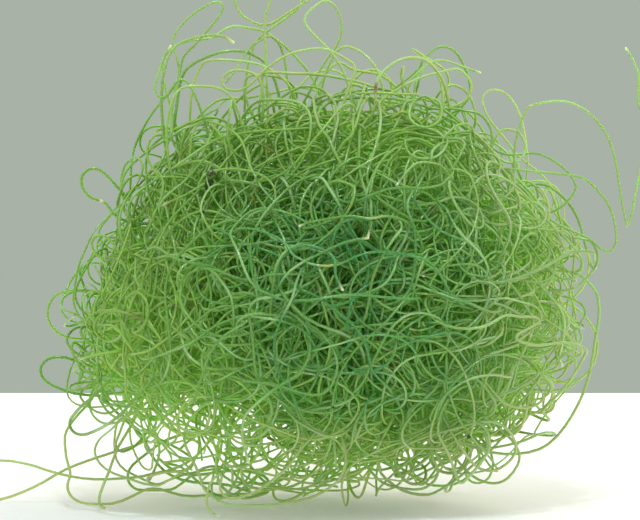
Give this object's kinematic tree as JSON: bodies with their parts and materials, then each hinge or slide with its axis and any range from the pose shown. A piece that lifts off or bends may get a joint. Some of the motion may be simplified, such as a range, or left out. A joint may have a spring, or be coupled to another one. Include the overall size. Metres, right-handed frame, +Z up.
{
  "type": "chaetomorpha algae",
  "caption": "Loose roundish clump of wiry green algae: separate unbranched filaments tangled together, with loops and tails standing off it. Rests on a small flat spot.",
  "frame": {"origin": "on the surface that the clump rests on, inside the flat spot under it", "axes": "+X to the right across the clump's longest side, +Y from its front to its back, +Z up"},
  "size_m": [0.0965, 0.069, 0.075],
  "materials": {
    "matted_algae": "satin",
    "outer_filament": "satin",
    "front_filament": "satin",
    "detritus": "matte"
  },
  "bodies": {
    "root": {"matted_filaments": "matted_algae", "arc_at_crown": "outer_filament", "back_arc_at_crown": "outer_filament", "back_bend_low": "outer_filament", "back_loop_left": "outer_filament", "back_loop_low_left": "outer_filament", "back_loop_right": "outer_filament", "brown_tipped_filament": "outer_filament", "coil_upper_right": "outer_filament", "creeping_filament_front": "outer_filament", "creeping_loop_left": "outer_filament", "double_loop_at_crown": "outer_filament", "far_loop_left": "outer_filament", "hanging_filament_right": "outer_filament", "hanging_loop_left": "outer_filament", "high_arc_upper_left": "outer_filament", "hook_upper_left": "outer_filament", "inner_low_loop_right": "outer_filament", "kinked_filament_low_right": "outer_filament", "kinked_loop_low_left": "outer_filament", "long_filament_far_right": "outer_filament", "low_arc_upper_left": "outer_filament", "low_bend_middle": "outer_filament", "low_loop_left": "outer_filament", "low_loop_right": "outer_filament", "low_ring_at_crown": "outer_filament", "narrow_loop_at_crown": "outer_filament", "oval_loop_top": "outer_filament", "pink_tipped_filament": "outer_filament", "pointed_filament_upper_right": "outer_filament", "ring_upper_right": "outer_filament", "short_arc_upper_left": "outer_filament", "shoulder_filament_right": "outer_filament", "side_loop_left": "outer_filament", "side_loop_low_left": "outer_filament", "side_loop_right": "outer_filament", "side_loop_upper_left": "outer_filament", "small_arch_upper_right": "outer_filament", "standing_filament_left": "outer_filament", "tall_loop_upper_left": "outer_filament", "bow_left_front": "front_filament", "cream_tipped_filament": "front_filament", "down_turned_arc_front": "front_filament", "falling_sweep_front": "front_filament", "folded_filament_right_front": "front_filament", "kinked_filament_front": "front_filament", "long_sweep_front": "front_filament", "pale_arc_front": "front_filament", "rising_filament_front": "front_filament", "slanting_filament_right_front": "front_filament", "straight_filament_right_front": "front_filament", "sweep_low_front": "front_filament", "swinging_arc_front": "front_filament", "wavy_filament_front": "front_filament", "detritus_left": "detritus", "detritus_low_middle": "detritus", "detritus_low_right": "detritus", "detritus_upper_left": "detritus"}
  },
  "joints": []
}
